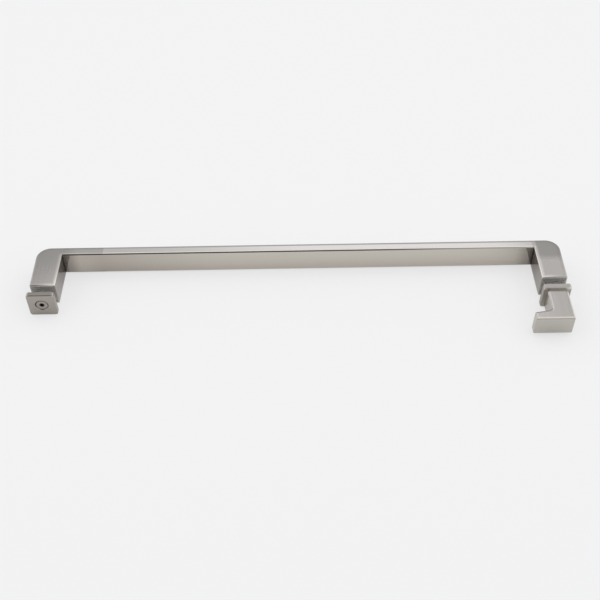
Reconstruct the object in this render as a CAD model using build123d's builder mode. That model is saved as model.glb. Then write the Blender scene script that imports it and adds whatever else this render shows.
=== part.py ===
"""Pull handle for a frameless glass door, in millimetres.

A flat bar on two square legs stands on one side of the glass. Two square plates clamp it
through the glass: the left one with a countersunk screw, the right one under an L-shaped
finger pull. X runs along the bar, -Y points through the glass, Z is up, and the origin lies
on the glass, midway between the two fixing axes.
"""

import os

from build123d import *

os.makedirs("parts", exist_ok=True)

# Handle: a flat bar and two square legs, welded and polished as one piece
hole_centres = 500.0
leg_width = 25.0
section_height = 25.0
bar_thickness = 10.0
leg_reach = 52.5
outer_corner_round = 13.5
inner_corner_round = 0.6
leg_tip_outer_round = 2.5
leg_tip_inner_round = 1.5
handle_edge_round = 1.5

# Glass that the handle clamps, and the plastic that keeps metal off it
glass_thickness = 8.0
gasket_thickness = 1.0
gasket_inset = 1.0
gasket_corner_round = 2.0
sleeve_diameter = 11.0

# Square clamping plates
plate_size = 27.0
plate_thickness = 5.0
plate_corner_round = 2.5
plate_edge_chamfer = 0.5

# Left screw, countersunk with a hexagon socket
screw_diameter = 6.0
screw_engagement = 10.0
head_diameter = 11.6
head_rim = 0.3
countersink_diameter = 13.0
socket_across_flats = 4.0
socket_depth = 2.6

# Right stud, screwed into the leg and into the finger pull
stud_pull_engagement = 12.0
thread_end_chamfer = 0.8

# Finger pull: a square stem with a foot that tapers towards its tip
pull_depth = 37.5
pull_height = 21.0
stem_width = 20.0
foot_length = 37.0
foot_root_thickness = 12.0
foot_tip_thickness = 9.0
foot_root_round = 3.0
foot_tip_round = 2.0
pull_corner_round = 1.2
pull_edge_round = 0.8

# Grub screw that locks the finger pull on its stud, from below
grub_diameter = 5.0
grub_length = 6.0
grub_setback = 9.0
grub_socket_across_flats = 2.5
grub_socket_depth = 2.5
grub_point_chamfer = 0.9

# Clearances, each measured on the radius or along the gap
thread_clearance = 0.05
bolt_clearance = 0.25
sleeve_bore_clearance = 0.2
sleeve_end_clearance = 0.2
gasket_hole_clearance = 0.3
seat_clearance = 0.05
tapped_hole_spare = 3.0
drill_point_share = 0.3

# Stations along a fixing axis, from the bar through the glass to the room
half_centres = hole_centres / 2
leg_face_y = gasket_thickness
bar_outer_y = leg_face_y + leg_reach
bar_inner_y = bar_outer_y - bar_thickness
glass_far_y = -glass_thickness
plate_back_y = glass_far_y - gasket_thickness
plate_front_y = plate_back_y - plate_thickness
pull_front_y = plate_front_y - pull_depth

# Radii that two pieces share
screw_radius = screw_diameter / 2
tapped_radius = screw_radius + thread_clearance
bolt_hole_radius = screw_radius + bolt_clearance
sleeve_bore_radius = screw_radius + sleeve_bore_clearance
sleeve_radius = sleeve_diameter / 2
gasket_hole_radius = sleeve_radius + gasket_hole_clearance
head_radius = head_diameter / 2
countersink_radius = countersink_diameter / 2


def across(x, y):
    """Plane square to a fixing axis at x, facing -Y, with its own Y axis pointing up."""
    return Plane(origin=(x, y, 0), x_dir=(1, 0, 0), z_dir=(0, -1, 0))


def along(x, y):
    """Plane through a fixing axis, seen from above, with its own Y axis along the axis."""
    return Plane(origin=(x, y, 0), x_dir=(1, 0, 0), z_dir=(0, 0, 1))


def fixing_axis(x, y):
    """Fixing axis at x, pointing from the glass towards the bar."""
    return Axis((x, y, 0), (0, 1, 0))


def save(part, name):
    """Label a finished piece and write its file."""
    part.label = name
    export_step(part, f"parts/{name}.step")


# Handle bar: U-shaped plan, raised to its height, every long edge rounded, legs tapped
outer_x = half_centres + leg_width / 2
inner_x = half_centres - leg_width / 2
leg_hole_depth = screw_engagement + tapped_hole_spare

with BuildPart() as handle_bar:
    with BuildSketch(Plane.XY.offset(-section_height / 2)) as handle_plan:
        with BuildLine():
            Polyline(
                (-outer_x, leg_face_y),
                (-outer_x, bar_outer_y),
                (outer_x, bar_outer_y),
                (outer_x, leg_face_y),
                (inner_x, leg_face_y),
                (inner_x, bar_inner_y),
                (-inner_x, bar_inner_y),
                (-inner_x, leg_face_y),
                close=True,
            )
        make_face()
        by_depth = handle_plan.vertices().group_by(Axis.Y)
        leg_tips = by_depth[0].sort_by(Axis.X)
        fillet(by_depth[-1], outer_corner_round)
        fillet(by_depth[1], inner_corner_round)
        fillet([leg_tips[0], leg_tips[-1]], leg_tip_outer_round)
        fillet([leg_tips[1], leg_tips[-2]], leg_tip_inner_round)
    extrude(amount=section_height)
    levels = handle_bar.faces().filter_by(Axis.Z).sort_by(Axis.Z)
    fillet(levels[0].edges() + levels[-1].edges(), handle_edge_round)
    for x in (-half_centres, half_centres):
        with BuildSketch(along(x, leg_face_y)):
            with BuildLine():
                Polyline(
                    (0, 0),
                    (tapped_radius + thread_end_chamfer, 0),
                    (tapped_radius, thread_end_chamfer),
                    (tapped_radius, leg_hole_depth),
                    (0, leg_hole_depth + drill_point_share * screw_diameter),
                    close=True,
                )
            make_face()
        revolve(axis=fixing_axis(x, leg_face_y), mode=Mode.SUBTRACT)
save(handle_bar.part, "handle_bar")

# Gaskets, sleeves and plates: each sleeve stops short of the metal, so the gaskets take the grip
sleeve_leg_y = leg_face_y - sleeve_end_clearance
sleeve_plate_y = plate_back_y + sleeve_end_clearance

for side, x in (("left", -half_centres), ("right", half_centres)):
    with BuildPart() as leg_gasket:
        with BuildSketch(across(x, leg_face_y)):
            RectangleRounded(
                leg_width - 2 * gasket_inset,
                section_height - 2 * gasket_inset,
                gasket_corner_round,
            )
            Circle(gasket_hole_radius, mode=Mode.SUBTRACT)
        extrude(amount=gasket_thickness)
    save(leg_gasket.part, f"{side}_leg_gasket")

    with BuildPart() as sleeve:
        with BuildSketch(across(x, sleeve_leg_y)):
            Circle(sleeve_radius)
            Circle(sleeve_bore_radius, mode=Mode.SUBTRACT)
        extrude(amount=sleeve_leg_y - sleeve_plate_y)
    save(sleeve.part, f"{side}_sleeve")

    with BuildPart() as plate_gasket:
        with BuildSketch(across(x, glass_far_y)):
            RectangleRounded(
                plate_size - 2 * gasket_inset,
                plate_size - 2 * gasket_inset,
                gasket_corner_round,
            )
            Circle(gasket_hole_radius, mode=Mode.SUBTRACT)
        extrude(amount=gasket_thickness)
    save(plate_gasket.part, f"{side}_plate_gasket")

    with BuildPart() as back_plate:
        with BuildSketch(across(x, plate_back_y)):
            RectangleRounded(plate_size, plate_size, plate_corner_round)
        extrude(amount=plate_thickness)
        room_face = back_plate.faces().sort_by(Axis.Y)[0]
        chamfer(room_face.edges(), plate_edge_chamfer)
        with Locations(across(x, plate_front_y)):
            if side == "left":
                CounterSinkHole(bolt_hole_radius, countersink_radius, counter_sink_angle=90)
            else:
                Hole(bolt_hole_radius)
    save(back_plate.part, f"{side}_back_plate")

# Left screw: its cone lies in the plate's countersink, so its head is just below the face
cone_top_y = plate_front_y + countersink_radius - seat_clearance - head_radius
head_top_y = cone_top_y - head_rim
cone_foot_y = cone_top_y + head_radius - screw_radius
screw_tip_y = leg_face_y + screw_engagement

with BuildPart() as left_screw:
    with BuildSketch(along(-half_centres, 0)):
        with BuildLine():
            Polyline(
                (0, head_top_y),
                (head_radius, head_top_y),
                (head_radius, cone_top_y),
                (screw_radius, cone_foot_y),
                (screw_radius, screw_tip_y - thread_end_chamfer),
                (screw_radius - thread_end_chamfer, screw_tip_y),
                (0, screw_tip_y),
                close=True,
            )
        make_face()
    revolve(axis=fixing_axis(-half_centres, 0))
    with BuildSketch(across(-half_centres, head_top_y)):
        RegularPolygon(socket_across_flats / 2, 6, major_radius=False)
    extrude(amount=-socket_depth, mode=Mode.SUBTRACT)
save(left_screw.part, "left_screw")

# Right stud: through the sleeve and plate, from the leg's hole into the finger pull's
stud_pull_y = plate_front_y - stud_pull_engagement
stud_leg_y = leg_face_y + screw_engagement

with BuildPart() as right_stud:
    with BuildSketch(across(half_centres, stud_pull_y)):
        Circle(screw_radius)
    extrude(amount=stud_pull_y - stud_leg_y)
    chamfer(right_stud.edges().filter_by(GeomType.CIRCLE), thread_end_chamfer)
save(right_stud.part, "right_stud")

# Finger pull: L-shaped plan with a tapered foot, tapped for the stud and the grub screw
stem_left_x = half_centres - stem_width / 2
stem_right_x = half_centres + stem_width / 2
foot_tip_x = stem_right_x - foot_length
pull_hole_depth = stud_pull_engagement + tapped_hole_spare
grub_y = plate_front_y - grub_setback

with BuildPart() as finger_pull:
    with BuildSketch(Plane.XY.offset(-pull_height / 2)) as pull_plan:
        with BuildLine():
            Polyline(
                (stem_left_x, plate_front_y),
                (stem_right_x, plate_front_y),
                (stem_right_x, pull_front_y),
                (foot_tip_x, pull_front_y),
                (foot_tip_x, pull_front_y + foot_tip_thickness),
                (stem_left_x, pull_front_y + foot_root_thickness),
                close=True,
            )
        make_face()
        by_depth = pull_plan.vertices().group_by(Axis.Y)
        fillet(by_depth[0], pull_corner_round)
        fillet(by_depth[1], foot_tip_round)
        fillet(by_depth[2], foot_root_round)
    extrude(amount=pull_height)
    levels = finger_pull.faces().filter_by(Axis.Z).sort_by(Axis.Z)
    rims = levels[0].edges() + levels[-1].edges()
    fillet(rims.sort_by(Axis.Y)[:-2], pull_edge_round)
    with BuildSketch(along(half_centres, plate_front_y)):
        with BuildLine():
            Polyline(
                (0, 0),
                (tapped_radius + thread_end_chamfer, 0),
                (tapped_radius, -thread_end_chamfer),
                (tapped_radius, -pull_hole_depth),
                (0, -pull_hole_depth - drill_point_share * screw_diameter),
                close=True,
            )
        make_face()
    revolve(axis=fixing_axis(half_centres, plate_front_y), mode=Mode.SUBTRACT)
    with BuildSketch(Plane((half_centres, grub_y, -pull_height / 2))):
        Circle(grub_diameter / 2 + thread_clearance)
    extrude(amount=pull_height / 2, mode=Mode.SUBTRACT)
save(finger_pull.part, "finger_pull")

# Grub screw: its point bears on the stud, its socket faces down
grub_point_z = -screw_radius - seat_clearance
grub_foot_z = grub_point_z - grub_length

with BuildPart() as pull_grub_screw:
    with BuildSketch(Plane((half_centres, grub_y, grub_foot_z))):
        Circle(grub_diameter / 2)
    extrude(amount=grub_length)
    grub_rims = pull_grub_screw.edges().filter_by(GeomType.CIRCLE).sort_by(Axis.Z)
    chamfer(grub_rims[-1], grub_point_chamfer)
    with BuildSketch(Plane((half_centres, grub_y, grub_foot_z))):
        RegularPolygon(grub_socket_across_flats / 2, 6, major_radius=False)
    extrude(amount=grub_socket_depth, mode=Mode.SUBTRACT)
save(pull_grub_screw.part, "pull_grub_screw")
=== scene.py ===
# %% [markdown]
# # A pull handle for a glass door
#
# The real object is a flat steel bar on two square legs, clamped through a glass door by two
# square plates. One plate is held by a countersunk screw, the other by an L-shaped finger pull.
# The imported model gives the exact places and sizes. It is loaded first and stays as it is, and
# every piece that this script makes stands where the model says, in metres.

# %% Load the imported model
import math

import bpy
from mathutils import Matrix, Vector
from mathutils.geometry import tessellate_polygon


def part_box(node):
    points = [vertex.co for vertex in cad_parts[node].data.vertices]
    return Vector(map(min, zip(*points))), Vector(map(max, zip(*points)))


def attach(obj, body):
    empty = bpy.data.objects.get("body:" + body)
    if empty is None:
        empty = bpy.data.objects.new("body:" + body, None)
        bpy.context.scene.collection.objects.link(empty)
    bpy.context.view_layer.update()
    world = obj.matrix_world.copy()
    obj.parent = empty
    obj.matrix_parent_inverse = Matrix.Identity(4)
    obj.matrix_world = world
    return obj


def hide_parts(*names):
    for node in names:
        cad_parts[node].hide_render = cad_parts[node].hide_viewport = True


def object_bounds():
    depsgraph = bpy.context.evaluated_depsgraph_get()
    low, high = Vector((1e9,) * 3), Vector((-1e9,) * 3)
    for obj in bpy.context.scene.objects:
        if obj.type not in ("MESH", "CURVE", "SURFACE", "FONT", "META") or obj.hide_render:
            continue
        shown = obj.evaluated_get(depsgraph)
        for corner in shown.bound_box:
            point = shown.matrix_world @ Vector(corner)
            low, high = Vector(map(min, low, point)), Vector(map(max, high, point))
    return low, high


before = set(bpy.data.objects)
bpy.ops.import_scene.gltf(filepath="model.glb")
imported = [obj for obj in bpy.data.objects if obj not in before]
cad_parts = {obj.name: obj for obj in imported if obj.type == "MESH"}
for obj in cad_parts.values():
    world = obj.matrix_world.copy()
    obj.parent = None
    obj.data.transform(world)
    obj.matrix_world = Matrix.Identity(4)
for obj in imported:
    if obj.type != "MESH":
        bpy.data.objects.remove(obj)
cad_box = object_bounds()
scene = bpy.context.scene
MM = 0.001
print("CAD box in mm:", [[round(c / MM, 2) for c in corner] for corner in cad_box])

# %% [markdown]
# ## The photograph's view
#
# A long lens looks down at the handle, which lies flat, from the side of the plates. The camera
# is built from the line of sight and a slight lean instead of three turn angles, because a
# direction is easier to check than Euler angles. The focal length is known in pixels of the
# picture, and the lens in millimetres follows from the width of the sensor.

# %% Camera
PICTURE_SIDE = 600
FOCAL_PIXELS = 954.25
LOOK_DOWN = math.radians(46.793)
LEAN = math.radians(-0.931)
AIM = Vector((1.167, 26.0, -40.872)) * MM
DISTANCE = 985.36 * MM

sight = Vector((0, math.cos(LOOK_DOWN), -math.sin(LOOK_DOWN)))
upright = Vector((0, math.sin(LOOK_DOWN), math.cos(LOOK_DOWN)))
sideways = Vector((1, 0, 0))
right = sideways * math.cos(LEAN) + upright * math.sin(LEAN)
up = upright * math.cos(LEAN) - sideways * math.sin(LEAN)


def placed(spot, axes):
    """A place at a spot, whose own three axes point along the given ones."""
    return Matrix.Translation(spot) @ Matrix(axes).transposed().to_4x4()


lens = bpy.data.cameras.new("camera")
lens.sensor_width = 36
lens.lens = FOCAL_PIXELS * lens.sensor_width / PICTURE_SIDE
camera = bpy.data.objects.new("camera", lens)
camera.matrix_world = placed(AIM - sight * DISTANCE, (right, up, -sight))
scene.collection.objects.link(camera)
scene.camera = camera
scene.view_settings.view_transform = "Standard"
print("lens in mm:", round(lens.lens, 2))

# %% [markdown]
# ## Node trees written as sums
#
# Materials and Geometry Nodes are both trees of nodes. One small class wraps a socket, so that a
# sum in Python adds the Math nodes for it, and its node() adds any other node: its settings come
# first, because some of them change which sockets the node has, and then its inputs.

# %% A socket that takes part in sums
class Wire:
    """The output of a node. Sums with it add Math nodes, and node() adds any other node."""

    def __init__(self, tree, socket=None):
        self.tree, self.socket = tree, socket

    def node(self, kind, settings={}, inputs={}, output=0):
        """Adds a node. The setting items is how many an Index Switch has, and the value of an
        input may be a list, for a socket that takes several wires."""
        made = self.tree.nodes.new(kind)
        for name, value in settings.items():
            if name == "items":
                for _ in range(value - len(made.index_switch_items)):
                    made.index_switch_items.new()
            else:
                setattr(made, name, value)
        for name, value in inputs.items():
            for one in value if isinstance(value, list) else [value]:
                if isinstance(one, Wire):
                    self.tree.links.new(one.socket, made.inputs[name])
                else:
                    made.inputs[name].default_value = one
        return Wire(self.tree, made.outputs[output] if made.outputs else None)

    def output(self, name):
        """Another output of the same node."""
        return Wire(self.tree, self.socket.node.outputs[name])

    def math(self, operation, first, second):
        return self.node("ShaderNodeMath", {"operation": operation}, {0: first, 1: second})

    def __add__(self, other):
        return self.math("ADD", self, other)

    def __sub__(self, other):
        return self.math("SUBTRACT", self, other)

    def __rsub__(self, other):
        return self.math("SUBTRACT", other, self)

    def __mul__(self, other):
        return self.math("MULTIPLY", self, other)

    def __truediv__(self, other):
        return self.math("DIVIDE", self, other)

    def __neg__(self):
        return self.math("MULTIPLY", self, -1)

    __radd__, __rmul__ = __add__, __mul__

    def kept(self, geometry, name, value, kind):
        """The geometry, with a value kept at its points under a name."""
        inputs = {"Geometry": geometry, "Name": name, "Value": value}
        return self.node("GeometryNodeStoreNamedAttribute", {"data_type": kind}, inputs)

    def step(self, low, high):
        """0 below low and 1 above high, with a soft step between."""
        settings = {"interpolation_type": "SMOOTHSTEP"}
        inputs = {"Value": self, "From Min": low, "From Max": high}
        return self.node("ShaderNodeMapRange", settings, inputs)

    def mixed(self, first, second):
        """A colour: the first where this value is 0, the second where it is 1."""
        inputs = {0: self, 6: first, 7: second}
        return self.node("ShaderNodeMix", {"data_type": "RGBA"}, inputs, output=2)


# %% [markdown]
# ## The studio
#
# Polished steel has hardly any colour of its own: it shows the room. In the photograph the bar's
# top mirrors a wide pale panel behind it, the rounded edges catch a lamp overhead, and the room
# is dim behind the camera, up to a little right of it. Paler walls left and right light the legs'
# edges. The floor is plain and pale, and keeps the shadow.

# %% Room
ROOM_COLOUR = (0.59, 0.60, 0.635, 1)
DIM_COLOUR = (0.12, 0.12, 0.125, 1)
PANEL_COLOUR = (0.70, 0.71, 0.79, 1)
SIDE_COLOUR = (0.80, 0.80, 0.83, 1)
DIM_SIDE = Vector((0, -0.80, 0.60)).normalized()
DIM_EDGE, DIM_RIGHT = (0.62, 0.76), (0.09, 0.17)
PANEL_LEFT, PANEL_FULL, PANEL_RIGHT = (-0.35, -0.25), (-0.19, 0.02), (0.20, 0.275)
PANEL_BACK, PANEL_LOW, PANEL_HIGH = (0.0, 0.3), (0.55, 0.65), (0.76, 0.90)
PANEL_FAINT = 0.33
SIDE_EDGE = (0.42, 0.56)

room = bpy.data.worlds.new("studio")
room.use_nodes = True
room.node_tree.nodes.clear()
desk = Wire(room.node_tree)
direction = desk.node("ShaderNodeTexCoord", output="Generated")
towards_dim = desk.node(
    "ShaderNodeVectorMath",
    {"operation": "DOT_PRODUCT"},
    {0: direction, 1: DIM_SIDE},
    output="Value",
)
sideways_part = desk.node("ShaderNodeSeparateXYZ", inputs={0: direction})
back_part, upward_part = sideways_part.output("Y"), sideways_part.output("Z")
dimness = towards_dim.step(*DIM_EDGE) * (1 - sideways_part.step(*DIM_RIGHT))
panel_level = PANEL_FAINT + (1 - PANEL_FAINT) * sideways_part.step(*PANEL_FULL)
panel_width = sideways_part.step(*PANEL_LEFT) * (1 - sideways_part.step(*PANEL_RIGHT))
panel_height = upward_part.step(*PANEL_LOW) * (1 - upward_part.step(*PANEL_HIGH))
panel = panel_level * panel_width * panel_height * back_part.step(*PANEL_BACK)
room_colour = dimness.mixed(ROOM_COLOUR, DIM_COLOUR)
glow = desk.node("ShaderNodeBackground", inputs={"Color": room_colour})
panel_glow = desk.node(
    "ShaderNodeBackground", inputs={"Color": PANEL_COLOUR, "Strength": panel}
)
side = desk.math("ABSOLUTE", sideways_part, 0).step(*SIDE_EDGE)
side_glow = desk.node("ShaderNodeBackground", inputs={"Color": SIDE_COLOUR, "Strength": side})
added = desk.node("ShaderNodeAddShader", inputs={0: panel_glow, 1: side_glow})
all_round = desk.node("ShaderNodeAddShader", inputs={0: glow, 1: added})
desk.node("ShaderNodeOutputWorld", inputs={"Surface": all_round})
scene.world = room
print("room:", ROOM_COLOUR, "dim side:", DIM_COLOUR, "panel adds:", PANEL_COLOUR)

# %% Lamp
LAMP_SPOT = Vector((0.0, 0.38, 1.45))
LAMP_WIDTH, LAMP_DEPTH = 3.4, 1.1
LAMP_LEVEL = 0.65
LAMP_TINT = (1.02, 1.0, 0.94)

handle_low, handle_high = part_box("handle_bar")
lamp = bpy.data.lights.new("overhead", "AREA")
lamp.shape, lamp.size, lamp.size_y = "RECTANGLE", LAMP_WIDTH, LAMP_DEPTH
lamp.energy = LAMP_LEVEL * math.pi * LAMP_WIDTH * LAMP_DEPTH
lamp.color = LAMP_TINT
holder = bpy.data.objects.new("overhead", lamp)
away = (LAMP_SPOT - (handle_low + handle_high) / 2).to_track_quat("Z", "Y")
holder.matrix_world = Matrix.Translation(LAMP_SPOT) @ away.to_matrix().to_4x4()
holder.visible_camera = False
scene.collection.objects.link(holder)
print("lamp:", lamp.name, "as bright as a surface of level", LAMP_LEVEL)

# %% Floor
FLOOR_REACH = 12.0
FLOOR_PAINT = 0.90
FLOOR_LOOK = 0.884
GLOW_SEEN = 0.7
GLOW_MIRRORED = 0.27


def grey(level):
    """A plain grey."""
    return (level, level, level, 1)


floor_level = cad_box[0][2]
sides = ((-1, -1), (1, -1), (1, 1), (-1, 1))
floor_mesh = bpy.data.meshes.new("floor")
floor_mesh.from_pydata(
    [(x * FLOOR_REACH, y * FLOOR_REACH, floor_level) for x, y in sides], [], [(0, 1, 2, 3)]
)
floor = bpy.data.objects.new("floor", floor_mesh)
scene.collection.objects.link(floor)

pale = bpy.data.materials.new("pale_floor")
pale.use_nodes = True
pale.node_tree.nodes.clear()
desk = Wire(pale.node_tree)
paint = desk.node("ShaderNodeBsdfDiffuse", inputs={"Color": grey(FLOOR_PAINT)})
shine = desk.node("ShaderNodeEmission", inputs={"Color": grey(FLOOR_LOOK)})
seen = desk.node("ShaderNodeLightPath", output="Is Camera Ray")
mirrored = seen.output("Is Glossy Ray") + seen.output("Is Transmission Ray")
glowing = GLOW_SEEN * seen + GLOW_MIRRORED * mirrored
ground = desk.node("ShaderNodeMixShader", inputs={0: glowing, 1: paint, 2: shine})
desk.node("ShaderNodeOutputMaterial", inputs={"Surface": ground})
floor_mesh.materials.append(pale)
print("floor at z =", round(floor_level / MM, 2), "mm")

# %% [markdown]
# ## Finishes
#
# Satin steel is drawn over an abrasive belt, which leaves fine parallel lines: along the bar on
# the bar and all over its back, and along the legs elsewhere on the legs. The lines are noise
# stretched along the belt's path. They change the roughness and the surface's slope, and hardly
# the colour, so that the gloss comes from the shader and works in any light. Broader, softer
# bands are left by the hand that held the piece against the belt. The tops are painted darker
# on the left leg as far as a sharp line on the bar, and on the right leg near its outer corner:
# a painted reflection of a dimmer part of the room. The steel is a little rougher there too.
# Each leg's top is painted lighter towards the right, a painted sheen. The inside faces are
# smoother, and a little warmer low down and at the left end. They are painted darker towards the
# inside corners, along the legs' inner sides and towards the inner face's left end: painted shade
# for the shaded floor that they mirror, with a darker line of painted shade in the corner itself.
# The legs' ends, which face the glass, are only milled, so they are rougher.

# %% Helpers for finishes
def new_finish(name):
    """An empty material and a wire to build its nodes with."""
    finish = bpy.data.materials.new(name)
    finish.use_nodes = True
    finish.node_tree.nodes.clear()
    return finish, Wire(finish.node_tree)


def object_place(desk):
    """A spot in Object coordinates, and its three parts."""
    spot = desk.node("ShaderNodeTexCoord", output="Object")
    x = desk.node("ShaderNodeSeparateXYZ", inputs={0: spot})
    return spot, x, x.output("Y"), x.output("Z")


def belt_lines(desk, spot, scale):
    """Noise stretched into lines: the scale is small along the lines, in features per metre."""
    stretched = desk.node("ShaderNodeMapping", inputs={"Vector": spot, "Scale": scale})
    inputs = {"Vector": stretched, "Scale": 1.0, "Detail": 2.0, "Roughness": 0.55}
    return desk.node("ShaderNodeTexNoise", inputs=inputs)


BELT_DEPTH = 0.0003 * MM


def metal(desk, colour, roughness, height):
    """A bare metal surface with the fine relief of the belt."""
    relief = desk.node(
        "ShaderNodeBump", inputs={"Height": height, "Strength": 1.0, "Distance": BELT_DEPTH}
    )
    surface = desk.node(
        "ShaderNodeBsdfPrincipled",
        inputs={
            "Base Color": colour,
            "Metallic": 1.0,
            "Roughness": roughness,
            "Normal": relief,
        },
    )
    desk.node("ShaderNodeOutputMaterial", inputs={"Surface": surface})


# %% Places on the handle
HALF_CENTRES = 250 * MM
LEG_WIDTH = 25 * MM
BAR_THICKNESS = 10 * MM
DARK_TOP_EDGE = 196.5 * MM
DARK_TOP_FADE = 18 * MM

handle_finish, desk = new_finish("handle_satin_steel")
spot, x, y, z = object_place(desk)
far_x = desk.math("ABSOLUTE", x, 0)
inner_x, outer_x = HALF_CENTRES - LEG_WIDTH / 2, HALF_CENTRES + LEG_WIDTH / 2
on_flat = desk.math("ABSOLUTE", z, 0).step(11.0 * MM, 11.8 * MM)
on_back = (1 - on_flat) * y.step(handle_high.y - 9 * MM, handle_high.y - 3 * MM)
on_leg = far_x.step(inner_x - 3 * MM, inner_x - 0.1 * MM) * (1 - on_back)
# Painted reflection: the tops are painted darker from the left leg to a sharp line on the bar, and
# on the right leg near its outer corner.
on_left = 1 - x.step(-DARK_TOP_EDGE - 0.5 * MM, -DARK_TOP_EDGE + 0.5 * MM)
near_leg = far_x.step(inner_x - DARK_TOP_FADE, inner_x)
dark_top_left = on_left * (0.5 + 0.35 * near_leg) * y.step(-10 * MM, 45 * MM)
dark_top_right = x.step(inner_x + 1 * MM, inner_x + 3 * MM) * y.step(23 * MM, 34 * MM)
dark_top_reflection = on_flat * (dark_top_left + dark_top_right)
aside, behind = far_x - inner_x, y - (handle_high.y - BAR_THICKNESS)
from_corner = desk.math("POWER", aside * aside + behind * behind, 0.5)
within = (1 - aside.step(0.2 * MM, 0.5 * MM)) * (1 - behind.step(0.3 * MM, 0.9 * MM))
inside = (1 - on_flat) * within
# Painted shade on the inside faces: darker in the corners and near them, towards the inner face's
# left end and along the legs' inner sides, with a darker line in the corner crease.
crease_shade = (1 - from_corner.step(0.4 * MM, 1.3 * MM)) * inside
corner_shade = 1 - from_corner.step(2.5 * MM, 6 * MM)
near_corner_shade = 0.66 * (1 - from_corner.step(2 * MM, 20 * MM))
left_end_shade = 0.38 * x.step(-228 * MM, -195 * MM) * (1 - x.step(-230 * MM, -50 * MM))
leg_side_shade = on_leg * (0.55 + 0.35 * y.step(5 * MM, 30 * MM))
painted_shade = corner_shade
for other in (near_corner_shade, left_end_shade, leg_side_shade):
    painted_shade = desk.math("MAXIMUM", painted_shade, other)
painted_shade = painted_shade * inside
less_warm = x.step(-190 * MM, -140 * MM) * z.step(-8 * MM, 4 * MM)
# A painted sheen: each leg's top is painted lighter towards the right.
left_rise, right_rise = x.step(-outer_x, -inner_x), x.step(inner_x, outer_x)
painted_sheen = left_rise - 0.56 * x.step(-inner_x, inner_x) + 0.5 * right_rise
on_end = 1 - y.step(handle_low.y + 0.3 * MM, handle_low.y + 0.8 * MM)
print("places on the handle:", len(handle_finish.node_tree.nodes), "nodes")

# %% Satin steel of the handle
ALONG = 12
ACROSS_BAND = 420
ACROSS_LINE = 5200
BAR_STEEL = ((0.565, 0.535, 0.485, 1), (0.585, 0.555, 0.505, 1))
INNER_STEEL = ((0.595, 0.545, 0.484, 1), (0.582, 0.552, 0.486, 1))
LEG_STEEL = ((0.435, 0.412, 0.374, 1), (0.525, 0.497, 0.451, 1))
# Painted reflection: the colour of the darker tops.
DARK_TOP_STEEL = (0.335, 0.318, 0.288, 1)
# Painted shade: the colour of the inside corners, then of the corner crease.
CORNER_SHADE_STEEL = ((0.25, 0.225, 0.204, 1), (0.06, 0.053, 0.047, 1))
BAR_ROUGHNESS, LEG_ROUGHNESS, INSIDE_ROUGHNESS = 0.12, 0.24, 0.08
DARK_TOP_ROUGHER, END_ROUGHER, BELT_ROUGHER = 0.06, 0.3, 0.04


def by_part(bar_value, leg_value):
    """One value on the bar and another on the legs."""
    return bar_value + (leg_value - bar_value) * on_leg


def smoother_inside(value):
    """A roughness that falls to that of the inside faces."""
    return value - (value - INSIDE_ROUGHNESS) * inside


def belt_trace(lines, bands):
    """How much rougher or smoother the belt left a spot."""
    return BELT_ROUGHER * (lines + bands - 1)


lines, bands = (
    by_part(
        belt_lines(desk, spot, (ALONG, per_metre, per_metre)),
        belt_lines(desk, spot, (per_metre, ALONG * 2, per_metre)),
    )
    for per_metre in (ACROSS_LINE, ACROSS_BAND)
)
satin = bands.step(0.2, 0.8)
bar_colour = inside.mixed(satin.mixed(*BAR_STEEL), less_warm.mixed(*INNER_STEEL))
# The legs' colour follows the painted sheen.
leg_colour = (0.8 * painted_sheen + 0.2 * satin).mixed(*LEG_STEEL)
# The tops take the painted reflection, and the inside faces the painted shade.
ground = dark_top_reflection.mixed(on_leg.mixed(bar_colour, leg_colour), DARK_TOP_STEEL)
colour = painted_shade.mixed(ground, crease_shade.mixed(*CORNER_SHADE_STEEL))
roughness = by_part(smoother_inside(BAR_ROUGHNESS), smoother_inside(LEG_ROUGHNESS))
rougher = DARK_TOP_ROUGHER * dark_top_reflection + END_ROUGHER * on_end
metal(desk, colour, roughness + rougher + belt_trace(lines, bands), lines)
print("finish:", handle_finish.name, "with", len(handle_finish.node_tree.nodes), "nodes")

# %% Satin steel of the small pieces
PLATE_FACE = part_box("left_back_plate")[0].y
COUNTERSINK_RADIUS = 6.5 * MM
HEAD_RADIUS = 5.8 * MM
# Painted shade in the recesses, and a painted shadow round the screw's head.
RECESS_SHADE_STEEL = ((0.32, 0.304, 0.28, 1), (0.09, 0.086, 0.08, 1))
PAINTED_SHADOW_COLOUR = (0.06, 0.057, 0.052, 1)
SUNK_ROUGHER = 0.2


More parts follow.
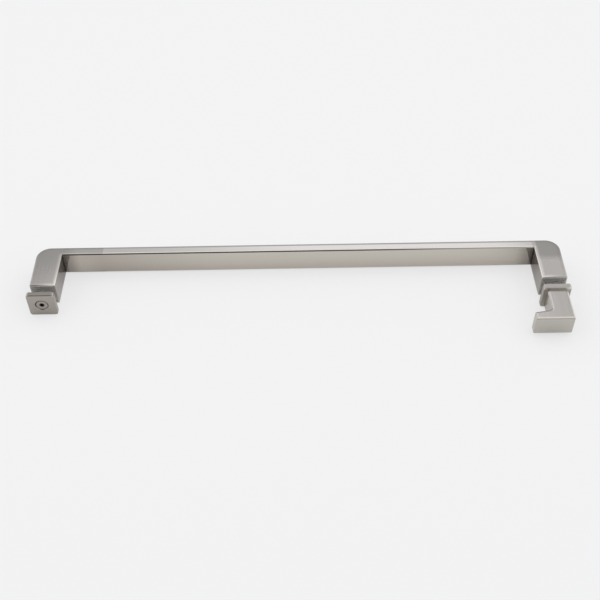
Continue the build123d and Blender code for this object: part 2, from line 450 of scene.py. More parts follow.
def small_satin(name, scale, dark, light, roughness, sunk=None, painted_light_patch=None):
    """Satin steel of a small piece, with its lines along the axis whose scale is 0.

    What is sunk below the face round a fixing axis is painted darker, and darker still deeper
    down, as painted shade in the recess; it is rougher too. A painted shadow lies round the
    upper side of the screw's head and at its socket's mouth. A patch of painted light or shade
    is given by a function of place, which is 1 there, and by its colour."""
    finish, desk = new_finish(name)
    spot, x, y, z = object_place(desk)
    lines = belt_lines(desk, spot, tuple(ACROSS_LINE if s else ALONG * 2 for s in scale))
    bands = belt_lines(desk, spot, tuple(ACROSS_BAND if s else ALONG * 2 for s in scale))
    colour = bands.step(0.2, 0.8).mixed((*dark, 1), (*light, 1))
    roughness = roughness + belt_trace(lines, bands)
    # A patch of painted light or painted shade.
    if painted_light_patch:
        where, painted_light_colour = painted_light_patch
        colour = where(x, y, z).mixed(colour, (*painted_light_colour, 1))
    if sunk:
        aside = desk.math("ABSOLUTE", x, 0) - HALF_CENTRES
        from_axis = desk.math("POWER", aside * aside + z * z, 0.5)
        reach = COUNTERSINK_RADIUS + 0.1 * MM
        in_hole = 1 - from_axis.step(reach, reach + 0.1 * MM)
        # Painted shade in the recess round the axis, darker deeper down, and a painted shadow
        # round the upper side of the screw's head and at its socket's mouth.
        painted_shade = in_hole * y.step(sunk + 0.05 * MM, sunk + 0.3 * MM)
        deep = y.step(sunk + 0.1 * MM, sunk + 0.6 * MM)
        ring = from_axis.step(HEAD_RADIUS - 0.7 * MM, HEAD_RADIUS - 0.2 * MM)
        mouth = 1 - from_axis.step(2.4 * MM, 3.0 * MM)
        painted_shadow = 0.9 * ring * z.step(-4 * MM, 2 * MM) + 0.7 * mouth
        colour = painted_shade.mixed(colour, deep.mixed(*RECESS_SHADE_STEEL))
        colour = (in_hole * painted_shadow).mixed(colour, PAINTED_SHADOW_COLOUR)
        roughness = roughness + SUNK_ROUGHER * painted_shade
    metal(desk, colour, roughness, lines)
    print("finish:", name)
    return finish


PLATE_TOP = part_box("left_back_plate")[1].z
PULL_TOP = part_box("finger_pull")[1].z


def on_top(x, y, z):
    """The narrow top side of a plate."""
    return z.step(PLATE_TOP - 0.6 * MM, PLATE_TOP - 0.2 * MM)


def above_pull(x, y, z):
    """The strip of the right plate's face above the finger pull."""
    on_face = 1 - y.step(PLATE_FACE + 0.2 * MM, PLATE_FACE + 0.6 * MM)
    return on_face * z.step(PULL_TOP - 0.2 * MM, PULL_TOP + 0.2 * MM)


# The left plate's narrow top is painted darker: painted shade.
left_plate_finish = small_satin(
    "left_plate_satin_steel",
    (0, 1, 1),
    dark=(0.36, 0.333, 0.294),
    light=(0.384, 0.355, 0.314),
    roughness=0.24,
    sunk=PLATE_FACE,
    painted_light_patch=(on_top, (0.315, 0.294, 0.26)),
)
# The right plate's face above the finger pull is painted lighter: painted light in the shade of
# the narrow step between plate and pull.
right_plate_finish = small_satin(
    "right_plate_satin_steel",
    (0, 1, 1),
    dark=(0.40, 0.377, 0.341),
    light=(0.423, 0.398, 0.361),
    roughness=0.40,
    painted_light_patch=(above_pull, (0.70, 0.664, 0.605)),
)
pull_finish = small_satin(
    "pull_satin_steel",
    (1, 0, 1),
    dark=(0.496, 0.47, 0.424),
    light=(0.515, 0.488, 0.442),
    roughness=0.22,
)
screw_finish = small_satin(
    "screw_plain_steel",
    (1, 1, 1),
    dark=(0.325, 0.297, 0.262),
    light=(0.405, 0.373, 0.331),
    roughness=0.30,
    sunk=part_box("left_screw")[0].y,
)

# %% Clear plastic of the gaskets and sleeves
plastic_finish, desk = new_finish("clear_soft_plastic")
spot = desk.node("ShaderNodeTexCoord", output="Object")
cloud = desk.node("ShaderNodeTexNoise", inputs={"Vector": spot, "Scale": 120.0, "Detail": 2.0})
plastic = desk.node(
    "ShaderNodeBsdfPrincipled",
    inputs={
        "Base Color": cloud.mixed((0.78, 0.77, 0.74, 1), (0.86, 0.85, 0.82, 1)),
        "Roughness": 0.16 + 0.16 * cloud,
        "Alpha": 0.17 + 0.05 * cloud,
    },
)
desk.node("ShaderNodeOutputMaterial", inputs={"Surface": plastic})
print("finish:", plastic_finish.name)

# %% [markdown]
# ## Rounded pieces from outlines and edge profiles
#
# Nearly every piece here is an outline that is carried up a height, with a small round or chamfer
# along its edges. An outline is a list of points, each with the direction that faces out of the
# piece there. An edge profile is the same idea in cross-section. Carrying the one round the other
# gives clean rows of faces, and their exact normals are known, so that flat faces stay flat in a
# mirror finish and rounds stay smooth.

# %% Outlines and profiles
def round_corner(before, corner, after, radius):
    """Spots round one corner of a path with the piece on its left.

    A spot is a point, its outward direction, how far it can move inwards before its round is
    used up, and the mitre that it follows from there."""
    arrive, leave = (corner - before).normalized(), (after - corner).normalized()
    turn = math.atan2(arrive.cross(leave), arrive.dot(leave))
    first, last = (Vector((way.y, -way.x)) for way in (arrive, leave))
    mitre = (first + last) / (1 + first.dot(last))
    reach = math.copysign(radius, turn)
    centre = corner - arrive * radius * math.tan(abs(turn) / 2) - first * reach
    room = math.inf if radius and turn < 0 else radius
    steps = 4 + round(2 * radius * abs(turn) / MM) if radius else 1
    for k in range(steps + 1):
        normal = Matrix.Rotation(turn * k / steps, 2) @ first
        yield centre + normal * reach, normal, room, mitre


def moved(spot, out):
    """A spot's point moved outwards, or inwards where out is below 0."""
    point, normal, room, mitre = spot
    straight = max(out, -room)
    return point + normal * straight + mitre * (out - straight)


def rounded_path(corners, closed):
    """Spots along a path of (across, along, radius) corners."""
    spots = [Vector(corner[:2]) for corner in corners]
    path = []
    for k, corner in enumerate(corners):
        before, after = spots[k - 1], spots[(k + 1) % len(spots)]
        if not closed and k == 0:
            before = spots[0] * 2 - spots[1]
        if not closed and k == len(spots) - 1:
            after = spots[k] * 2 - spots[k - 1]
        path += round_corner(before, spots[k], after, corner[2])
    return path


def rectangle(width, height, radius):
    """The outline of a rectangle with rounded corners, about its middle."""
    return rounded_path([(x * width / 2, y * height / 2, radius) for x, y in sides], True)


def turned(steps):
    """The outline of a turned piece: the profile that is carried round it sets the radius."""
    angles = [2 * math.pi * k / steps for k in range(steps)]
    ways = [Vector((math.cos(a), math.sin(a))) for a in angles]
    return [(Vector((0, 0)), way, math.inf, way) for way in ways]


print("a 27 mm plate has", len(rectangle(27 * MM, 27 * MM, 2.5 * MM)), "outline points")

# %% The skin of a piece
WELD = 1e-7


class Skin:
    """Points, faces and corner normals of a piece, gathered before they become a mesh."""

    def __init__(self):
        self.points, self.faces, self.normals = [], [], []

    def carry(self, outline, profile, place, closed=True):
        """Carries a profile round an outline, and returns the rows of points."""
        facing = place.to_3x3()
        rows = []
        for (out, level), *_ in profile:
            first = len(self.points)
            self.points += [place @ Vector((*moved(spot, out), level)) for spot in outline]
            rows.append(range(first, len(self.points)))
        tilts = [spot[1] for spot in profile]
        for low, high, below, above in zip(rows, rows[1:], tilts, tilts[1:]):
            for k in range(len(outline) if closed else len(outline) - 1):
                j = (k + 1) % len(outline)
                self.faces.append([low[k], low[j], high[j], high[k]])
                ends = ((k, below), (j, below), (j, above), (k, above))
                self.normals.append(
                    [facing @ Vector((*(outline[i][1] * tilt.x), tilt.y)) for i, tilt in ends]
                )
        return rows

    def turn(self, corners, place, steps=64):
        """Turns a profile of (radius, level, round) corners about the place's own Z axis."""
        return self.carry(turned(steps), rounded_path(corners, False), place)

    def fill(self, loops, towards):
        """A flat face inside the first loop and outside the others, which faces the given way."""
        far_apart = lambda a, b: (self.points[a] - self.points[b]).length > WELD
        loops = [[i for k, i in enumerate(loop) if far_apart(i, loop[k - 1])] for loop in loops]
        order = [i for loop in loops for i in loop]
        for triangle in tessellate_polygon([[self.points[i] for i in loop] for loop in loops]):
            corners = [order[i] for i in triangle]
            a, b, c = (self.points[i] for i in corners)
            if (b - a).cross(c - a).dot(towards) < 0:
                corners.reverse()
            self.faces.append(corners)
            self.normals.append([Vector(towards)] * 3)

    def take_out(self, spot):
        """Removes the face whose middle lies nearest to a spot, and returns its corners."""
        middle = lambda face: sum((self.points[i] for i in face), Vector()) / len(face)
        nearest = min(range(len(self.faces)), key=lambda k: (middle(self.faces[k]) - spot).length)
        self.normals.pop(nearest)
        return self.faces.pop(nearest)

    def add_mesh(self, mesh, place):
        """Adds a finished mesh, moved to its place."""
        first, facing = len(self.points), place.to_3x3()
        self.points += [place @ vertex.co for vertex in mesh.vertices]
        for face in mesh.polygons:
            self.faces.append([first + i for i in face.vertices])
            corners = [mesh.corner_normals[i].vector for i in face.loop_indices]
            self.normals.append([facing @ normal for normal in corners])

    def mesh(self, name):
        """The mesh, with points that coincide welded and faces of no area left out."""
        welded, spots, faces, normals = {}, [], [], []
        index = []
        for point in self.points:
            key = tuple(round(c / WELD / 10) for c in point)
            if key not in welded:
                welded[key] = len(spots)
                spots.append(point)
            index.append(welded[key])
        for face, corners in zip(self.faces, self.normals):
            own = [index[i] for i in face]
            kept = [k for k in range(len(own)) if own[k] != own[k - 1]]
            if len({own[k] for k in kept}) > 2:
                faces.append([own[k] for k in kept])
                normals += [corners[k] for k in kept]
        mesh = bpy.data.meshes.new(name)
        mesh.from_pydata(spots, [], faces)
        mesh.shade_smooth()
        mesh.normals_split_custom_set(normals)
        return mesh


def fitted(name, skin, finish, node):
    """Makes the piece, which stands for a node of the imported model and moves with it."""
    mesh = skin.mesh(name)
    mesh.materials.append(finish)
    piece = bpy.data.objects.new(name, mesh)
    scene.collection.objects.link(piece)
    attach(piece, "root")
    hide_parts(node)
    print(name, "for", node, "with", len(mesh.polygons), "faces")


# %% [markdown]
# ## Geometry Nodes helpers
#
# A tree gets one named input for each size, so that a reader can try other sizes in Blender. When
# it has run, its result is copied into a plain mesh, because an exported model keeps only meshes.

# %% Trees with named sizes
def start_tree(name, sizes):
    """A tree with these named sizes and a material, and a wire to its inputs."""
    tree = bpy.data.node_groups.new(name, "GeometryNodeTree")
    tree.interface.new_socket("Geometry", in_out="OUTPUT", socket_type="NodeSocketGeometry")
    for size in sizes:
        tree.interface.new_socket(size, in_out="INPUT", socket_type="NodeSocketFloat")
    tree.interface.new_socket("Material", in_out="INPUT", socket_type="NodeSocketMaterial")
    return Wire(tree).node("NodeGroupInput")


def end_tree(start, geometry):
    """Ends a tree in plain geometry with its material."""
    whole = start.node("GeometryNodeRealizeInstances", inputs={"Geometry": geometry})
    painted = start.node(
        "GeometryNodeSetMaterial",
        inputs={"Geometry": whole, "Material": start.output("Material")},
    )
    start.node("NodeGroupOutput", inputs={"Geometry": painted})


def grown(start, values):
    """Runs a tree with these values and returns its result as a plain mesh."""
    carrier = bpy.data.objects.new("carrier", bpy.data.meshes.new("carrier"))
    scene.collection.objects.link(carrier)
    modifier = carrier.modifiers.new("nodes", "NODES")
    modifier.node_group = start.tree
    for item in start.tree.interface.items_tree:
        if item.in_out == "INPUT":
            modifier[item.identifier] = values[item.name]
    smoothing = carrier.modifiers.new("normals", "WEIGHTED_NORMAL")
    smoothing.keep_sharp = True
    scene_state = bpy.context.evaluated_depsgraph_get()
    mesh = bpy.data.meshes.new_from_object(carrier.evaluated_get(scene_state))
    carrier.modifiers.clear()
    bpy.data.objects.remove(carrier)
    print(start.tree.name, "gives", len(mesh.polygons), "faces")
    return mesh


def switched(start, index, values, kind):
    """One of the values, by index."""
    inputs = {"Index": index, **{k + 1: value for k, value in enumerate(values)}}
    settings = {"data_type": kind, "items": len(values)}
    return start.node("GeometryNodeIndexSwitch", settings, inputs)


def corner_curve(start, corners, steps, closed):
    """A curve through (across, along, radius) corners, each of them rounded."""
    index = start.node("GeometryNodeInputIndex")
    places = [start.node("ShaderNodeCombineXYZ", inputs={0: x, 1: y}) for x, y, _ in corners]
    spots = switched(start, index, places, "VECTOR")
    radii = switched(start, index, [radius for _, _, radius in corners], "FLOAT")
    points = start.node("GeometryNodePoints", inputs={"Count": len(corners), "Position": spots})
    curve = start.node("GeometryNodePointsToCurves", inputs={"Points": points, "Weight": index})
    curve = start.kept(curve, "corner", start.node("GeometryNodeInputPosition"), "FLOAT_VECTOR")
    curve = start.kept(curve, "round", radii, "FLOAT")
    if closed:
        curve = start.node(
            "GeometryNodeSetSplineCyclic", inputs={"Geometry": curve, "Cyclic": True}
        )
    return start.node(
        "GeometryNodeFilletCurve",
        {"mode": "POLY"},
        {"Curve": curve, "Count": steps, "Radius": radii},
    )


# %% [markdown]
# ## The handle
#
# The handle is one flat bar on two legs, welded and ground until no seam shows. Its shape follows
# a rule: a U-shaped plan from a few sizes, with an edge carried all the way round it. That is a
# sweep along a path, so Geometry Nodes make it. The plan's corners are rounded by a Fillet node,
# an edge profile is swept along the plan, and two flat faces close it. Polishing rolled the top
# off towards its edge, most at the legs' tips. The edge itself is bevelled, wider in front than
# at the back, and the underside is left nearly sharp, so the profile has three versions.

# %% Tree of the handle
LEG_FACE = handle_low.y
HANDLE_SIZES = {
    "Hole Centres": 2 * HALF_CENTRES,
    "Leg Width": LEG_WIDTH,
    "Bar Thickness": BAR_THICKNESS,
    "Leg Reach": 52.5 * MM,
    "Leg Face": LEG_FACE,
    "Height": handle_high.z - handle_low.z,
    "Outer Corner": 13.5 * MM,
    "Inner Corner": 0.3 * MM,
    "Outer Tip": 1.0 * MM,
    "Inner Tip": 0.6 * MM,
    "Roll Width": 4.0 * MM,
    "Roll Middle": 2.4 * MM,
    "Roll Drop": 0.22 * MM,
    "Roll Round": 15.0 * MM,
    "Tip Drop": 0.4 * MM,
    "Tip Round": 8.0 * MM,
    "Front Bevel": 0.95 * MM,
    "Back Bevel": 0.3 * MM,
    "Bevel Round": 0.25 * MM,
    "Under Round": 0.5 * MM,
}
PLAN_STEPS = 16
EDGE_STEPS = 5
handle_tree = start_tree("flat bar handle", HANDLE_SIZES)
(
    centres, leg, thickness, reach, face, height, outer, inner, outer_tip, inner_tip,
    roll_width, roll_middle, roll_drop, roll_round, tip_drop, tip_round,
    front_bevel, back_bevel, bevel_round, under_round,
) = (handle_tree.output(size) for size in HANDLE_SIZES)
out_x, in_x = (centres + leg) / 2, (centres - leg) / 2
back_y = face + reach
bar_y = back_y - thickness
plan = corner_curve(
    handle_tree,
    [
        (-out_x, face, outer_tip),
        (-in_x, face, inner_tip),
        (-in_x, bar_y, inner),
        (in_x, bar_y, inner),
        (in_x, face, inner_tip),
        (out_x, face, outer_tip),
        (out_x, back_y, outer),
        (-out_x, back_y, outer),
    ],
    PLAN_STEPS,
    True,
)
INWARDS = ((1, 1), (-1, 1), (-1, 1), (1, 1), (1, 1), (-1, 1), (-1, -1), (1, -1))
BENDS = (1, 1, -1, -1, 1, 1, 1, 1)
half = height / 2


def edge_profile(bevel, drop, drop_round):
    """The edge from the underside to the top, which rolls off a little before its bevel."""
    shoulder = half - drop
    corners = [
        (roll_width, -half, 0.0),
        (0.0, -half, under_round),
        (0.0, shoulder - bevel, bevel_round),
        (bevel, shoulder, bevel_round),
        (roll_middle, half, drop_round),
        (roll_width, half, 0.0),
    ]
    return corner_curve(handle_tree, corners, EDGE_STEPS, False)


tip_edge = edge_profile(front_bevel, tip_drop, tip_round)
front_edge = edge_profile(front_bevel, roll_drop, roll_round)
back_edge = edge_profile(back_bevel, roll_drop, roll_round)
print("tree:", handle_tree.tree.name, "has its plan and three edges")

# %% Helpers for the skin of the handle
def scaled_sum(direction, amount, base):
    """A vector: the direction times the amount, plus the base."""
    inputs = {0: direction, 1: amount, 2: base}
    return handle_tree.node("ShaderNodeVectorMath", {"operation": "MULTIPLY_ADD"}, inputs)


def inset(spot, corner, radius, number, distance):
    """A spot of the plan moved inwards, where a round that is used up becomes a mitre."""
    inwards = switched(handle_tree, number, [(*way, 0) for way in INWARDS], "VECTOR")
    bend = switched(handle_tree, number, BENDS, "FLOAT")
    centre = scaled_sum(inwards, bend * radius, corner)
    from_centre = handle_tree.node(
        "ShaderNodeVectorMath", {"operation": "SUBTRACT"}, {0: spot, 1: centre}
    )
    left = handle_tree.math("MAXIMUM", radius - bend * distance, 0.0)
    moved_centre = scaled_sum(inwards, distance + bend * left, corner)
    return scaled_sum(from_centre, left / radius, moved_centre)


def read(name, kind):
    """A value that a curve keeps at its points."""
    settings = {"data_type": kind}
    return handle_tree.node("GeometryNodeInputNamedAttribute", settings, {"Name": name})


def sampled(curve, value, index, kind="FLOAT_VECTOR"):
    """A value at one point of a curve."""
    inputs = {"Geometry": curve, "Value": value, "Index": index}
    return handle_tree.node("GeometryNodeSampleIndex", {"data_type": kind}, inputs)


# %% Skin of the handle
position = handle_tree.node("GeometryNodeInputPosition")
corner, radius = read("corner", "FLOAT_VECTOR"), read("round", "FLOAT")
size_of = {"component": "CURVE"}
around = handle_tree.node("GeometryNodeAttributeDomainSize", size_of, {"Geometry": plan})
over = handle_tree.node("GeometryNodeAttributeDomainSize", size_of, {"Geometry": front_edge})
grid = handle_tree.node(
    "GeometryNodeMeshGrid", inputs={"Vertices X": around + 1, "Vertices Y": over}
)
index = handle_tree.node("GeometryNodeInputIndex")
row = handle_tree.math("FLOORED_MODULO", index, over)
column = handle_tree.math("FLOORED_MODULO", (index - row) / over, around)
per_corner = PLAN_STEPS + 1
number = handle_tree.math("FLOOR", column / per_corner, 0)
tip_spot, front_spot, back_spot = (
    sampled(edge, position, row) for edge in (tip_edge, front_edge, back_edge)
)
leg_spots = [tip_spot, tip_spot, front_spot]
edge_spots = leg_spots + leg_spots[::-1] + [back_spot] * 2
edge_spot = switched(handle_tree, number, edge_spots, "VECTOR")
distance = handle_tree.node("ShaderNodeSeparateXYZ", inputs={0: edge_spot})
plan_spot = inset(
    sampled(plan, position, column),
    sampled(plan, corner, column),
    sampled(plan, radius, column, "FLOAT"),
    number,
    distance,
)
lift = handle_tree.node("ShaderNodeCombineXYZ", inputs={"Z": distance.output("Y")})
wall = handle_tree.node(
    "GeometryNodeSetPosition", inputs={"Geometry": grid, "Position": plan_spot, "Offset": lift}
)
rim_number = handle_tree.math("FLOOR", index / per_corner, 0)
rim = handle_tree.node(
    "GeometryNodeSetPosition",
    inputs={"Geometry": plan, "Position": inset(position, corner, radius, rim_number, roll_width)},
)
lid = handle_tree.node("GeometryNodeFillCurve", {"mode": "NGONS"}, {"Curve": rim})


def lid_at(level, flipped):
    """The flat face at one level, turned over for the underside."""
    lift = handle_tree.node("ShaderNodeCombineXYZ", inputs={"Z": level})
    flat = handle_tree.node(
        "GeometryNodeTransform", inputs={"Geometry": lid, "Translation": lift}
    )
    return handle_tree.node("GeometryNodeFlipFaces", inputs={0: flat}) if flipped else flat


shell = handle_tree.node(
    "GeometryNodeJoinGeometry",
    inputs={"Geometry": [wall, lid_at(half, False), lid_at(-half, True)]},
)
joined = handle_tree.node(
    "GeometryNodeMergeByDistance", inputs={"Geometry": shell, "Distance": 1e-6}
)
smooth = handle_tree.node("GeometryNodeSetShadeSmooth", inputs={"Geometry": joined})
end_tree(handle_tree, smooth)
print("tree:", handle_tree.tree.name, "with", len(handle_tree.tree.nodes), "nodes")

# %% Handle
handle_mesh = grown(handle_tree, {**HANDLE_SIZES, "Material": handle_finish})
print("handle mesh area in mm2:", round(sum(f.area for f in handle_mesh.polygons) / MM**2))

# %% Tapped holes in the legs
SCREW_RADIUS = 3 * MM
TAPPED_RADIUS = 3.05 * MM
HOLE_CHAMFER = 0.8 * MM
DRILL_POINT = 1.8 * MM
LEG_HOLE_DEPTH = 13 * MM
FLAT = Matrix.Identity(4)
FORWARD = Vector((0, -1, 0))
UP, DOWN = Vector((0, 0, 1)), Vector((0, 0, -1))
TO_ROOM = ((1, 0, 0), (0, 0, 1), (0, -1, 0))
TO_GLASS = ((1, 0, 0), (0, 0, -1), (0, 1, 0))
TO_FLOOR = ((1, 0, 0), (0, -1, 0), (0, 0, -1))


def across(x, y):
    """A place on a fixing axis that faces the room, with its own Y axis pointing up."""
    return placed((x, y, 0), TO_ROOM)


def tapped_hole(depth):
    """The profile of a drilled and tapped hole, from its mouth to its point."""
    return (
        (TAPPED_RADIUS + HOLE_CHAMFER, 0, 0),
        (TAPPED_RADIUS, -HOLE_CHAMFER, 0),
        (TAPPED_RADIUS, -depth, 0),
        (0, -depth - DRILL_POINT, 0),
    )


handle = Skin()
handle.add_mesh(handle_mesh, FLAT)
for x in (-HALF_CENTRES, HALF_CENTRES):
    end_face = handle.take_out(Vector((x, LEG_FACE, 0)))
    hole = handle.turn(tapped_hole(LEG_HOLE_DEPTH), across(x, LEG_FACE))
    handle.fill([end_face, hole[0]], FORWARD)
fitted("flat_bar_handle", handle, handle_finish, "handle_bar")

# %% [markdown]
# ## Plates
#
# Each plate is a square of 5 mm steel with a chamfer round the face that shows. The left one is
# countersunk for its screw, and the right one has a plain hole for the stud of the finger pull.

# %% Plates
PLATE_CORNER = 2.5 * MM
PLATE_CHAMFER = 0.5 * MM
EDGE_BREAK = 0.12 * MM
BOLT_HOLE_RADIUS = 3.25 * MM


def drilled(name, node, finish, corner, edge, bore):
    """A flat square as large as its node, with an edge from back to face and a hole through it."""
    low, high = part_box(node)
    place = across((low.x + high.x) / 2, high.y)
    skin = Skin()
    outline = rectangle(high.x - low.x, high.z - low.z, corner)
    rows = skin.carry(outline, rounded_path(edge, False), place)
    hole = skin.turn(bore, place)
    skin.fill([rows[-1], hole[0]], FORWARD)
    skin.fill([rows[0], hole[-1]], -FORWARD)
    fitted(name, skin, finish, node)


def clamp_plate(name, node, finish, hole_corners):
    """A square plate with a hole, whose corners are given from the face to the back."""
    low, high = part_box(node)
    thickness = high.y - low.y
    edge = (
        (-2 * EDGE_BREAK, 0, 0),
        (0, 0, EDGE_BREAK),
        (0, thickness - PLATE_CHAMFER, EDGE_BREAK),
        (-PLATE_CHAMFER, thickness, EDGE_BREAK),
        (-2 * PLATE_CHAMFER, thickness, 0),
    )
    bore = [(radius, thickness - depth, broken) for radius, depth, broken in hole_corners]
    bore.append((bore[-1][0], 0, 0))
    drilled(name, node, finish, PLATE_CORNER, edge, bore)


clamp_plate(
    "left_clamp_plate",
    "left_back_plate",
    left_plate_finish,
    (
        (COUNTERSINK_RADIUS + 2 * EDGE_BREAK, 0, 0),
        (COUNTERSINK_RADIUS, 0, EDGE_BREAK),
        (BOLT_HOLE_RADIUS, COUNTERSINK_RADIUS - BOLT_HOLE_RADIUS, 0),
    ),
)
clamp_plate(
    "right_clamp_plate",
    "right_back_plate",
    right_plate_finish,
    ((BOLT_HOLE_RADIUS + 2 * EDGE_BREAK, 0, 0), (BOLT_HOLE_RADIUS, 0, EDGE_BREAK)),
)

# %% [markdown]
# ## Gaskets and sleeves
#
# Steel must never touch the glass. A clear gasket lies on each side of it, and a clear sleeve
# keeps the screw away from the edge of the hole. They are soft, so their edges are rounded.

# %% Gaskets and sleeves
GASKET_CORNER = 2 * MM
GASKET_HOLE_RADIUS = 5.8 * MM
SLEEVE_RADIUS = 5.5 * MM
SLEEVE_BORE_RADIUS = 3.2 * MM
SOFT_EDGE = 0.2 * MM


def gasket(name, node):
    """A thin square with a round hole and soft edges."""
    low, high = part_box(node)
    thickness = high.y - low.y
    edge = (
        (-SOFT_EDGE, 0, 0),
        (0, 0, SOFT_EDGE),
        (0, thickness, SOFT_EDGE),
        (-SOFT_EDGE, thickness, 0),
    )
    bore = ((GASKET_HOLE_RADIUS, thickness, 0), (GASKET_HOLE_RADIUS, 0, 0))
    drilled(name, node, plastic_finish, GASKET_CORNER, edge, bore)


def sleeve(name, node):
    """A plain tube with soft edges."""
    low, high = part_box(node)
    length = high.y - low.y
    corners = (
        (SLEEVE_BORE_RADIUS, 0, SOFT_EDGE),
        (SLEEVE_RADIUS, 0, SOFT_EDGE),
        (SLEEVE_RADIUS, length, SOFT_EDGE),
        (SLEEVE_BORE_RADIUS, length, SOFT_EDGE),
    )
    section = rounded_path(corners, True)
    skin = Skin()
    skin.carry(turned(64), section + section[:1], across((low.x + high.x) / 2, high.y))
    fitted(name, skin, plastic_finish, node)


for side in ("left", "right"):
    gasket(f"{side}_leg_pad", f"{side}_leg_gasket")
    gasket(f"{side}_plate_pad", f"{side}_plate_gasket")
    sleeve(f"{side}_glass_bush", f"{side}_sleeve")

# %% [markdown]
# ## The finger pull
#
# The finger pull is an L-shaped block: a square stem against the plate, and a foot that tapers
# towards its tip for the fingers to hook behind. Its edges are rounded everywhere but where it
# meets the plate, so its outline is an open path that starts and ends at the plate. A tapped hole
# takes the stud, and a smaller one below takes the grub screw that locks it.

# %% Finger pull
STEM_WIDTH = 20 * MM
FOOT_ROOT = 12 * MM
FOOT_TIP = 9 * MM
FOOT_ROOT_ROUND = 3 * MM
FOOT_TIP_ROUND = 2 * MM
PULL_CORNER = 1.2 * MM
PULL_ROLL_WIDTH = 2.6 * MM
PULL_ROLL_MIDDLE = 1.7 * MM
PULL_ROLL_DROP = 0.5 * MM
PULL_ROLL_ROUND = 5.5 * MM
PULL_EDGE = 0.9 * MM
PULL_HOLE_DEPTH = 15 * MM
GRUB_RADIUS = 2.5 * MM
GRUB_HOLE_RADIUS = 2.55 * MM
GRUB_STEPS = 48

pull_low, pull_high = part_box("finger_pull")
grub_low, grub_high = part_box("pull_grub_screw")
grub_y = (grub_low.y + grub_high.y) / 2
stem_x = pull_high.x - STEM_WIDTH
foot_y = pull_low.y + FOOT_ROOT
outline = rounded_path(
    (
        (stem_x, pull_high.y, 0),
        (stem_x, foot_y, FOOT_ROOT_ROUND),
        (pull_low.x, pull_low.y + FOOT_TIP, FOOT_TIP_ROUND),
        (pull_low.x, pull_low.y, PULL_CORNER),
        (pull_high.x, pull_low.y, PULL_CORNER),
        (pull_high.x, pull_high.y, 0),
    ),
    False,
)
edge = rounded_path(
    (
        (-PULL_ROLL_WIDTH, pull_low.z, 0),
        (-PULL_ROLL_MIDDLE, pull_low.z, PULL_ROLL_ROUND),
        (0, pull_low.z + PULL_ROLL_DROP, PULL_EDGE),
        (0, pull_high.z - PULL_ROLL_DROP, PULL_EDGE),
        (-PULL_ROLL_MIDDLE, pull_high.z, PULL_ROLL_ROUND),
        (-PULL_ROLL_WIDTH, pull_high.z, 0),
    ),
    False,
)
pull = Skin()
rows = pull.carry(outline, edge, FLAT, closed=False)
stud_hole = pull.turn(
    tapped_hole(PULL_HOLE_DEPTH), placed((HALF_CENTRES, pull_high.y, 0), TO_GLASS)
)
grub_depth = -SCREW_RADIUS - pull_low.z
grub_hole = pull.turn(
    ((GRUB_HOLE_RADIUS, 0, 0), (GRUB_HOLE_RADIUS, -grub_depth, 0), (0, -grub_depth, 0)),
    placed((HALF_CENTRES, grub_y, pull_low.z), TO_FLOOR),
    GRUB_STEPS,
)
back_loop = [row[0] for row in rows] + [row[-1] for row in reversed(rows)]
pull.fill([back_loop, stud_hole[0]], -FORWARD)
pull.fill([rows[-1]], UP)
pull.fill([rows[0], grub_hole[0]], DOWN)
fitted("finger_grip", pull, pull_finish, "finger_pull")

# %% [markdown]
# ## Screws
#
# A thread follows a helix, so Geometry Nodes sweep its ridge along a spiral and taper it out at
# both ends. The shank under it is turned down to the root of the thread. The clear sleeves let
# the threads show between the glass faces. Hexagon sockets are outlines carried downwards.

# %% Tree of a thread
THREAD_SIZES = ("Root Radius", "Depth", "Pitch", "Length")
THREAD_STEPS = 32
RIDGE = ((-0.15, -0.42), (1, -0.08), (1, 0.08), (-0.15, 0.42))
TAPER_END, TAPER_SHARE = 0.04, 0.06
thread_tree = start_tree("screw thread", THREAD_SIZES)
root, depth, pitch, length = (thread_tree.output(size) for size in THREAD_SIZES)
spiral = thread_tree.node(
    "GeometryNodeCurveSpiral",
    inputs={
        "Resolution": THREAD_STEPS,
        "Rotations": length / pitch,
        "Start Radius": root,
        "End Radius": root,
        "Height": length,
    },
)
helix = thread_tree.node("GeometryNodeSetCurveNormal", {"mode": "Z_UP"}, {"Curve": spiral})
ridge = {}
for k, (out, along) in enumerate(RIDGE):
    ridge[f"Point {k + 1}"] = thread_tree.node(
        "ShaderNodeCombineXYZ", inputs={"X": depth * out, "Y": pitch * along}
    )
section = thread_tree.node("GeometryNodeCurvePrimitiveQuadrilateral", {"mode": "POINTS"}, ridge)
progress = thread_tree.node("GeometryNodeSplineParameter")
tapers = progress.step(0, TAPER_SHARE) * (1 - progress.step(1 - TAPER_SHARE, 1))
taper = TAPER_END + (1 - TAPER_END) * tapers
thread = thread_tree.node(
    "GeometryNodeCurveToMesh",
    inputs={"Curve": helix, "Profile Curve": section, "Scale": taper, "Fill Caps": True},
)
flanks = thread_tree.node(
    "GeometryNodeSetShadeSmooth", inputs={"Geometry": thread, "Shade Smooth": False}
)
end_tree(thread_tree, flanks)
print("tree:", thread_tree.tree.name, "with", len(thread_tree.tree.nodes), "nodes")

# %% Threads and sockets
THREAD_DEPTH = 0.6 * MM
THREAD_PITCH = 1.0 * MM
THREAD_MARGIN = 0.5 * MM
END_CHAMFER = 0.4 * MM
SOCKET_CHAMFER = 0.2 * MM
ROOT_RADIUS = SCREW_RADIUS - THREAD_DEPTH
SCREW_THREAD = (ROOT_RADIUS, THREAD_PITCH, THREAD_DEPTH)


def cut_thread(skin, place, root_radius, pitch, depth, start, stop):
    """Adds a thread between two levels of a place."""
    sizes = {"Root Radius": root_radius, "Depth": depth, "Pitch": pitch}
    mesh = grown(thread_tree, {**sizes, "Length": stop - start, "Material": screw_finish})
    skin.add_mesh(mesh, place @ Matrix.Translation((0, 0, start)))


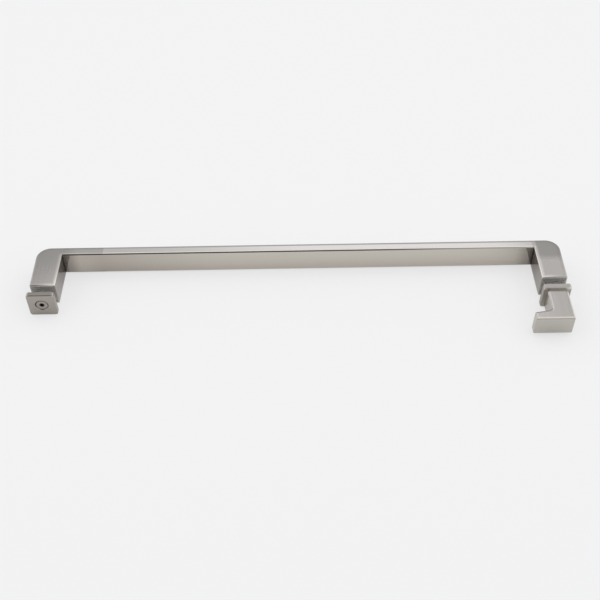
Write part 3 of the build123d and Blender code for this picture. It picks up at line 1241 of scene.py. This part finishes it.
def hexagon(width):
    """The outline of a hexagon socket, by its width across the flats."""
    reach = width / math.sqrt(3)
    angles = [math.radians(30 + 60 * k) for k in range(6)]
    return rounded_path(
        [(reach * math.cos(a), reach * math.sin(a), EDGE_BREAK) for a in angles], True
    )


def socket(skin, place, width, level, depth, towards):
    """Cuts a hexagon socket, and returns its mouth for the face round it."""
    corners = ((SOCKET_CHAMFER, level, 0), (0, level - SOCKET_CHAMFER, 0), (0, level - depth, 0))
    rows = skin.carry(hexagon(width), rounded_path(corners, False), place)
    skin.fill([rows[-1]], towards)
    return rows[0]


def shank_end(tip):
    """The turned end of a shank, from its middle."""
    return [
        (0, tip, 0),
        (ROOT_RADIUS - END_CHAMFER, tip, 0),
        (ROOT_RADIUS, tip + END_CHAMFER, 0),
    ]


print("thread of", round(THREAD_PITCH / MM, 2), "mm pitch")

# %% Countersunk screw
HEAD_RIM = 0.3 * MM
RIM_BEVEL = 0.6 * MM
NECK = 1.2 * MM
SCREW_SOCKET, SCREW_SOCKET_DEPTH = 4 * MM, 2.6 * MM

screw_low, screw_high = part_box("left_screw")
screw_place = across(-HALF_CENTRES, 0)
tip, top = -screw_high.y, -screw_low.y
cone_foot = top - HEAD_RIM - (HEAD_RADIUS - SCREW_RADIUS)
screw = Skin()
rows = screw.turn(
    [
        *shank_end(tip),
        (ROOT_RADIUS, cone_foot - NECK, 0),
        (SCREW_RADIUS, cone_foot, 0),
        (HEAD_RADIUS, top - HEAD_RIM, 0),
        (HEAD_RADIUS - RIM_BEVEL, top, EDGE_BREAK),
        (HEAD_RADIUS - RIM_BEVEL - EDGE_BREAK, top, 0),
    ],
    screw_place,
)
mouth = socket(screw, screw_place, SCREW_SOCKET, top, SCREW_SOCKET_DEPTH, FORWARD)
screw.fill([rows[-1], mouth], FORWARD)
cut_thread(screw, screw_place, *SCREW_THREAD, tip + THREAD_MARGIN, cone_foot - THREAD_PITCH)
fitted("left_countersunk_screw", screw, screw_finish, "left_screw")

# %% Stud
stud_low, stud_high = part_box("right_stud")
stud_place = across(HALF_CENTRES, 0)
tip, top = -stud_high.y, -stud_low.y
other_end = [
    (ROOT_RADIUS, top - END_CHAMFER, 0),
    (ROOT_RADIUS - END_CHAMFER, top, 0),
    (0, top, 0),
]
stud = Skin()
stud.turn(shank_end(tip) + other_end, stud_place)
cut_thread(stud, stud_place, *SCREW_THREAD, tip + THREAD_MARGIN, top - THREAD_MARGIN)
fitted("right_threaded_stud", stud, screw_finish, "right_stud")

# %% Grub screw
GRUB_PITCH = 0.8 * MM
GRUB_THREAD_DEPTH = 0.45 * MM
GRUB_TIP_MARGIN, GRUB_TOP_MARGIN = 0.6 * MM, 0.4 * MM
GRUB_CHAMFER = 0.2 * MM
GRUB_SOCKET, GRUB_SOCKET_DEPTH = 2.5 * MM, 2.5 * MM

grub_place = placed((HALF_CENTRES, grub_y, 0), TO_FLOOR)
tip, top = -grub_high.z, -grub_low.z
grub_root = GRUB_RADIUS - GRUB_THREAD_DEPTH
grub = Skin()
rows = grub.turn(
    (
        (0, tip, 0),
        (GRUB_RADIUS - 2 * GRUB_THREAD_DEPTH, tip, 0),
        (grub_root, tip + GRUB_THREAD_DEPTH, 0),
        (grub_root, top - GRUB_CHAMFER, 0),
        (grub_root - GRUB_CHAMFER, top, 0),
    ),
    grub_place,
    GRUB_STEPS,
)
mouth = socket(grub, grub_place, GRUB_SOCKET, top, GRUB_SOCKET_DEPTH, DOWN)
grub.fill([rows[-1], mouth], DOWN)
grub_thread = (grub_root, GRUB_PITCH, GRUB_THREAD_DEPTH)
cut_thread(grub, grub_place, *grub_thread, tip + GRUB_TIP_MARGIN, top - GRUB_TOP_MARGIN)
fitted("grip_grub_screw", grub, screw_finish, "pull_grub_screw")
